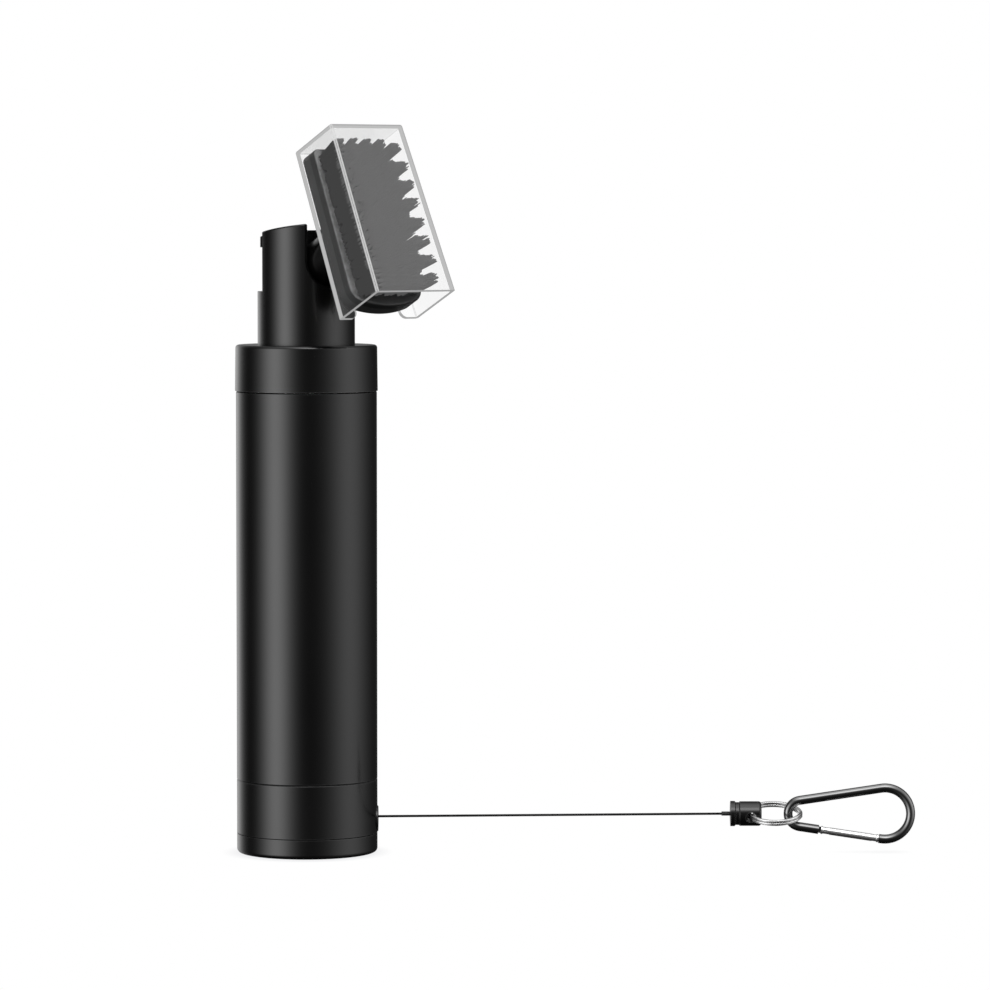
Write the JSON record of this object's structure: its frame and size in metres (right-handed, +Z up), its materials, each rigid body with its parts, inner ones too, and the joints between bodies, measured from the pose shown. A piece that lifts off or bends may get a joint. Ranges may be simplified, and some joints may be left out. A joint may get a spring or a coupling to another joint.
{
  "type": "club groove brush",
  "caption": "Golf club groove brush on a water bottle with thumb pump, tilting head, clear slide-on cover and a retractable cord with carabiner.",
  "frame": {"origin": "centre of the bottle's bottom face", "axes": "+Z up along the bottle, +X towards the side on which the cord leaves the reel"},
  "size_m": [0.1935, 0.0686, 0.2065],
  "materials": {
    "shell_black": "satin black anodised aluminium",
    "moulded_black": "satin black moulded plastic",
    "head_black": "dark grey moulded plastic",
    "bristle_grey": "dark grey nylon filament",
    "clear": "clear moulded plastic",
    "natural": "natural translucent plastic",
    "rubber": "black rubber",
    "cord": "black coated cord",
    "steel": "bright plated steel",
    "spring_steel": "spring steel",
    "clip_black": "gloss black anodised aluminium",
    "gate_silver": "satin natural aluminium"
  },
  "bodies": {
    "bottle": {"bottle_shell": "shell_black", "water_reservoir": "natural", "reel_housing": "moulded_black", "bottom_cap": "moulded_black", "bottom_screws": "spring_steel", "cord_eyelet": "moulded_black", "reel_axle": "spring_steel", "power_spring": "spring_steel"},
    "spool": {"reel_spool": "moulded_black", "wound_cord": "cord"},
    "cord_end": {"pull_cord": "cord", "cord_sleeve": "rubber", "cord_ferrule": "moulded_black"},
    "ring": {"split_ring": "steel"},
    "carabiner": {"carabiner_body": "clip_black", "gate_pin": "steel"},
    "gate": {"carabiner_gate": "gate_silver", "gate_spring": "spring_steel"},
    "pump": {"neck_housing": "moulded_black", "mouth_gasket": "rubber", "pump_cylinder": "natural", "riser_tube": "natural", "outlet_valve": "rubber", "dip_tube": "natural", "return_spring": "spring_steel"},
    "collar": {"collar": "shell_black"},
    "inlet_ball": {"inlet_ball": "steel"},
    "plunger": {"piston_rod": "natural", "piston_seal": "rubber", "thumb_press": "moulded_black"},
    "head": {"head_arm": "moulded_black", "pivot_seal": "rubber", "pivot_washer": "spring_steel", "brush_block": "head_black", "tuft_plate": "head_black", "block_screws": "spring_steel", "bristles": "bristle_grey", "water_nozzle": "head_black"},
    "cover": {"brush_cover": "clear"}
  },
  "joints": [
    {"name": "cord_retract", "type": "slide", "parent": "bottle", "child": "cord_end", "axis": [-1, 0, -0.0076], "range_m": [0, 0.098], "deforming": ["pull_cord"]},
    {"name": "spool_spin", "type": "hinge", "parent": "bottle", "child": "spool", "pos_m": [0, 0, 0.01], "axis": [0, 0, 1], "range_deg": [-600, 600]},
    {"name": "ring_swing", "type": "hinge", "parent": "cord_end", "child": "ring", "pos_m": [0.1264, 0, 0.0108], "axis": [0, 0.9613, 0.2756], "range_deg": [-75, 75]},
    {"name": "carabiner_swing", "type": "hinge", "parent": "ring", "child": "carabiner", "pos_m": [0.14086, 0, 0.0108], "axis": [0, 1, 0], "range_deg": [-70, 70]},
    {"name": "gate_open", "type": "hinge", "parent": "carabiner", "child": "gate", "pos_m": [0.14761, 0, 0.00594], "axis": [0, -1, 0], "range_deg": [0, 25], "stiffness_Nm_per_rad": 0.02, "springref_deg": -17.19},
    {"name": "cap_lift", "type": "slide", "parent": "bottle", "child": "pump", "axis": [0, 0, 1], "range_m": [0, 0.006]},
    {"name": "collar_turn", "type": "hinge", "parent": "pump", "child": "collar", "pos_m": [0, 0, 0.138], "axis": [0, 0, 1], "range_deg": [-5, 725]},
    {"name": "ball_lift", "type": "slide", "parent": "pump", "child": "inlet_ball", "axis": [0, 0, 1], "range_m": [0, 0.0015]},
    {"name": "thumb_push", "type": "slide", "parent": "pump", "child": "plunger", "axis": [0, 0, -1], "range_m": [0, 0.007], "stiffness_N_per_m": 600, "springref_m": -0.004, "deforming": ["return_spring"]},
    {"name": "head_tilt", "type": "hinge", "parent": "pump", "child": "head", "pos_m": [0, 0, 0.1636], "axis": [-0.7826, -0.6225, 0], "range_deg": [-2, 18]},
    {"name": "cover_slide", "type": "slide", "parent": "head", "child": "cover", "axis": [-0.267, 0.3357, 0.9033], "range_m": [0, 0.06]}
  ],
  "couplings": [
    {"joint": "spool_spin", "follows": "cord_retract", "rad_per_m": -102.04},
    {"joint": "collar_turn", "follows": "cap_lift", "rad_per_m": 2094.4}
  ]
}
